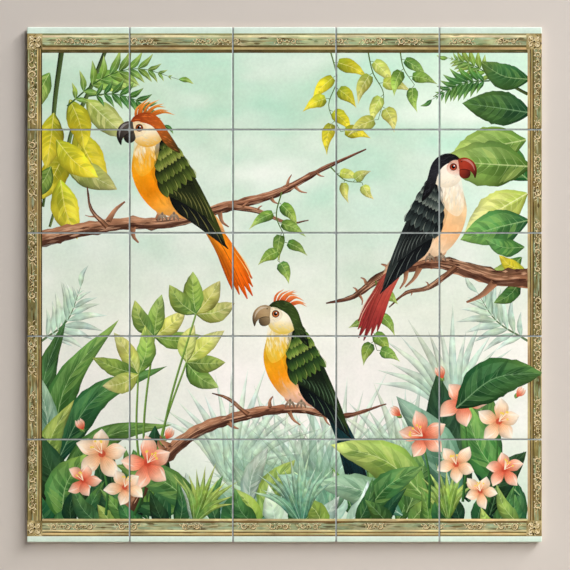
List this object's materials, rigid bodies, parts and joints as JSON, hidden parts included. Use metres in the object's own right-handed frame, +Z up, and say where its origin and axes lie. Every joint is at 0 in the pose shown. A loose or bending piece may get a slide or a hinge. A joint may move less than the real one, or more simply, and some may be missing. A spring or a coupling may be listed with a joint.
{
  "type": "ceramic tile mural",
  "caption": "Square wall mural of glazed ceramic tiles in even rows, with grouted joints, a painted garden scene with long-tailed birds and a printed moulding border.",
  "frame": {"origin": "centre of the flat back of the adhesive bed, where the mural meets the wall", "axes": "+Z up, +X to the right as seen from the front, -Y out of the picture side, +Y into the wall"},
  "size_m": [0.768, 0.0098, 0.768],
  "materials": {
    "tile": "glossy printed glaze over a pale bisque body",
    "grout": "matt, fine sanded, slightly hollow joints",
    "adhesive": "matt grey tile adhesive"
  },
  "bodies": {
    "root": {"tile_row_1_column_1": "tile", "tile_row_1_column_2": "tile", "tile_row_1_column_3": "tile", "tile_row_1_column_4": "tile", "tile_row_1_column_5": "tile", "tile_row_2_column_1": "tile", "tile_row_2_column_2": "tile", "tile_row_2_column_3": "tile", "tile_row_2_column_4": "tile", "tile_row_2_column_5": "tile", "tile_row_3_column_1": "tile", "tile_row_3_column_2": "tile", "tile_row_3_column_3": "tile", "tile_row_3_column_4": "tile", "tile_row_3_column_5": "tile", "tile_row_4_column_1": "tile", "tile_row_4_column_2": "tile", "tile_row_4_column_3": "tile", "tile_row_4_column_4": "tile", "tile_row_4_column_5": "tile", "tile_row_5_column_1": "tile", "tile_row_5_column_2": "tile", "tile_row_5_column_3": "tile", "tile_row_5_column_4": "tile", "tile_row_5_column_5": "tile", "grout": "grout", "adhesive_bed": "adhesive"}
  },
  "joints": []
}
